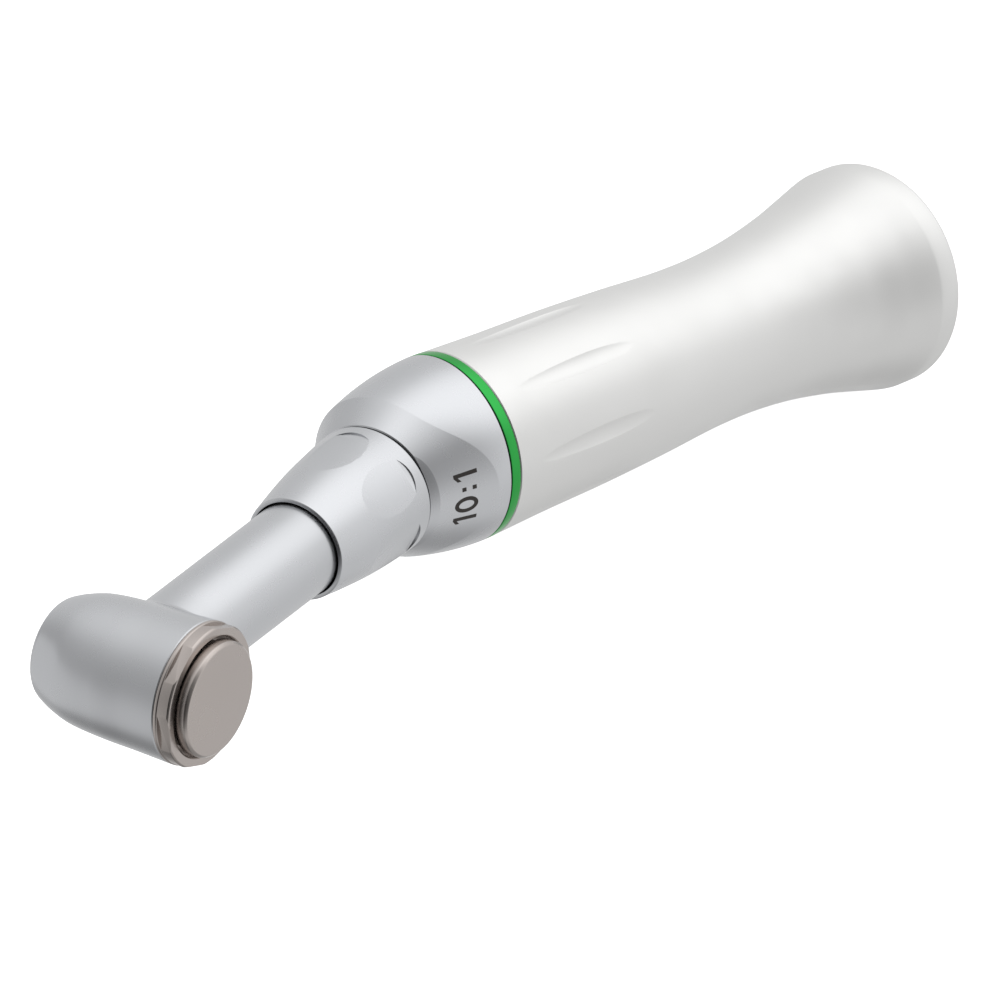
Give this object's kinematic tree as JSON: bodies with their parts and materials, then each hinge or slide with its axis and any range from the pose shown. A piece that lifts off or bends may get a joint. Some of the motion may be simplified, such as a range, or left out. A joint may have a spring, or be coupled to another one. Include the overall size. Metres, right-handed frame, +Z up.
{
  "type": "contra angle handpiece",
  "caption": "Slim bent dental handpiece with a reduction gear: flared motor socket, colour ring, union collar, gear neck and push-button chuck head at a right angle.",
  "frame": {"origin": "centre of the drive dog's rear face, on the shank's axis", "axes": "+X along the shank towards the motor; +Z up, square to the plane of the bend; the push button faces -Y"},
  "size_m": [0.0939, 0.0278, 0.02],
  "materials": {
    "satin_silver": "satin",
    "satin_blue_silver": "satin",
    "green_anodised": "satin anodised",
    "matt_nickel": "matt",
    "stainless_steel": "machined",
    "spring_steel": "drawn",
    "sintered_bronze": "sintered",
    "seal_rubber": "matt"
  },
  "bodies": {
    "shank": {"body_sheath": "satin_silver", "ratio_ring": "green_anodised", "nose_casing": "satin_blue_silver", "coupling_sleeve": "stainless_steel", "motor_retaining_clip": "spring_steel", "locating_pin": "stainless_steel", "ring_gear": "stainless_steel", "input_bearing_outer_ring": "stainless_steel", "output_bearing_outer_ring": "stainless_steel"},
    "output": {"output_shaft": "stainless_steel", "output_bearing_inner_ring": "stainless_steel"},
    "carrier": {"planet_carrier_1": "stainless_steel"},
    "input": {"input_shaft": "stainless_steel", "input_bearing_inner_ring": "stainless_steel", "dog_spring": "spring_steel"},
    "dog": {"drive_dog": "stainless_steel"},
    "input_cage": {"input_bearing_ball_cage": "sintered_bronze"},
    "output_cage": {"output_bearing_ball_cage": "sintered_bronze"},
    "planet_1a": {"planet_gear_1a": "stainless_steel"},
    "planet_1b": {"planet_gear_1b": "stainless_steel"},
    "planet_1c": {"planet_gear_1c": "stainless_steel"},
    "planet_1d": {"planet_gear_1d": "stainless_steel"},
    "planet_2a": {"planet_gear_2a": "stainless_steel"},
    "planet_2b": {"planet_gear_2b": "stainless_steel"},
    "planet_2c": {"planet_gear_2c": "stainless_steel"},
    "head_unit": {"head_housing": "satin_blue_silver", "head_cap": "matt_nickel", "neck_seal": "seal_rubber", "neck_rear_bush": "sintered_bronze", "neck_front_bush": "sintered_bronze", "lower_bearing_outer_ring": "stainless_steel", "upper_bearing_outer_ring": "stainless_steel", "button_spring": "spring_steel"},
    "nut_carriage": {"nut_washer": "sintered_bronze"},
    "collar": {"collar_nut": "satin_blue_silver"},
    "neck_drive": {"neck_shaft": "stainless_steel"},
    "spindle": {"chuck_spindle": "stainless_steel", "lower_bearing_inner_ring": "stainless_steel", "upper_bearing_inner_ring": "stainless_steel", "chuck_collet": "spring_steel", "pusher_spring": "spring_steel"},
    "lower_cage": {"lower_bearing_ball_cage": "sintered_bronze"},
    "upper_cage": {"upper_bearing_ball_cage": "sintered_bronze"},
    "pusher": {"release_pusher": "stainless_steel"},
    "button": {"push_button": "matt_nickel"}
  },
  "joints": [
    {"name": "input_spin", "type": "hinge", "parent": "shank", "child": "input", "pos_m": [0, 0, 0], "axis": [1, 0, 0], "continuous": true},
    {"name": "carrier_spin", "type": "hinge", "parent": "shank", "child": "carrier", "pos_m": [0, 0, 0], "axis": [1, 0, 0], "continuous": true},
    {"name": "output_spin", "type": "hinge", "parent": "shank", "child": "output", "pos_m": [0, 0, 0], "axis": [1, 0, 0], "continuous": true},
    {"name": "input_cage_spin", "type": "hinge", "parent": "shank", "child": "input_cage", "pos_m": [0, 0, 0], "axis": [1, 0, 0], "continuous": true},
    {"name": "output_cage_spin", "type": "hinge", "parent": "shank", "child": "output_cage", "pos_m": [0, 0, 0], "axis": [1, 0, 0], "continuous": true},
    {"name": "planet_1a_spin", "type": "hinge", "parent": "carrier", "child": "planet_1a", "pos_m": [0, 0, 0.0036], "axis": [1, 0, 0], "continuous": true},
    {"name": "planet_1b_spin", "type": "hinge", "parent": "carrier", "child": "planet_1b", "pos_m": [0, -0.0036, 0], "axis": [1, 0, 0], "continuous": true},
    {"name": "planet_1c_spin", "type": "hinge", "parent": "carrier", "child": "planet_1c", "pos_m": [0, 0, -0.0036], "axis": [1, 0, 0], "continuous": true},
    {"name": "planet_1d_spin", "type": "hinge", "parent": "carrier", "child": "planet_1d", "pos_m": [0, 0.0036, 0], "axis": [1, 0, 0], "continuous": true},
    {"name": "planet_2a_spin", "type": "hinge", "parent": "output", "child": "planet_2a", "pos_m": [0, 0, 0.00378], "axis": [1, 0, 0], "continuous": true},
    {"name": "planet_2b_spin", "type": "hinge", "parent": "output", "child": "planet_2b", "pos_m": [0, -0.00327, -0.00189], "axis": [1, 0, 0], "continuous": true},
    {"name": "planet_2c_spin", "type": "hinge", "parent": "output", "child": "planet_2c", "pos_m": [0, 0.00327, -0.00189], "axis": [1, 0, 0], "continuous": true},
    {"name": "dog_slide", "type": "slide", "parent": "input", "child": "dog", "axis": [-1, 0, 0], "range_m": [0, 0.0012], "stiffness_N_per_m": 800, "springref_m": -0.001, "deforming": ["dog_spring"]},
    {"name": "head_release", "type": "slide", "parent": "shank", "child": "head_unit", "axis": [-0.9563, -0.2924, 0], "range_m": [0, 0.014]},
    {"name": "nut_slide", "type": "slide", "parent": "head_unit", "child": "nut_carriage", "axis": [-0.9563, -0.2924, 0], "range_m": [0, 0.003]},
    {"name": "nut_turn", "type": "hinge", "parent": "nut_carriage", "child": "collar", "pos_m": [-0.02642, 0, 0], "axis": [-0.9563, -0.2924, 0], "range_deg": [0, 1440]},
    {"name": "neck_spin", "type": "hinge", "parent": "head_unit", "child": "neck_drive", "pos_m": [-0.02642, 0, 0], "axis": [-0.9563, -0.2924, 0], "continuous": true},
    {"name": "spindle_spin", "type": "hinge", "parent": "head_unit", "child": "spindle", "pos_m": [-0.05953, -0.01012, 0], "axis": [0.2924, -0.9563, 0], "continuous": true},
    {"name": "lower_cage_spin", "type": "hinge", "parent": "head_unit", "child": "lower_cage", "pos_m": [-0.05953, -0.01012, 0], "axis": [0.2924, -0.9563, 0], "continuous": true},
    {"name": "upper_cage_spin", "type": "hinge", "parent": "head_unit", "child": "upper_cage", "pos_m": [-0.05953, -0.01012, 0], "axis": [0.2924, -0.9563, 0], "continuous": true},
    {"name": "button_press", "type": "slide", "parent": "head_unit", "child": "button", "axis": [-0.2924, 0.9563, 0], "range_m": [0, 0.0009], "stiffness_N_per_m": 3000, "springref_m": -0.001, "deforming": ["button_spring"]},
    {"name": "pusher_slide", "type": "slide", "parent": "spindle", "child": "pusher", "axis": [-0.2924, 0.9563, 0], "range_m": [0, 0.000675], "deforming": ["pusher_spring"]}
  ],
  "couplings": [
    {"joint": "carrier_spin", "follows": "input_spin", "ratio": 0.3},
    {"joint": "output_spin", "follows": "input_spin", "ratio": 0.1},
    {"joint": "input_cage_spin", "follows": "input_spin", "ratio": 0.383},
    {"joint": "output_cage_spin", "follows": "input_spin", "ratio": 0.04},
    {"joint": "planet_1a_spin", "follows": "input_spin", "ratio": -1.05},
    {"joint": "planet_1b_spin", "follows": "input_spin", "ratio": -1.05},
    {"joint": "planet_1c_spin", "follows": "input_spin", "ratio": -1.05},
    {"joint": "planet_1d_spin", "follows": "input_spin", "ratio": -1.05},
    {"joint": "planet_2a_spin", "follows": "input_spin", "ratio": -0.4},
    {"joint": "planet_2b_spin", "follows": "input_spin", "ratio": -0.4},
    {"joint": "planet_2c_spin", "follows": "input_spin", "ratio": -0.4},
    {"joint": "nut_turn", "follows": "nut_slide", "rad_per_m": 8377.5},
    {"joint": "neck_spin", "follows": "input_spin", "ratio": -0.1},
    {"joint": "spindle_spin", "follows": "input_spin", "ratio": 0.1},
    {"joint": "lower_cage_spin", "follows": "input_spin", "ratio": 0.0442},
    {"joint": "upper_cage_spin", "follows": "input_spin", "ratio": 0.0442},
    {"joint": "pusher_slide", "follows": "button_press", "ratio": 0.75}
  ]
}
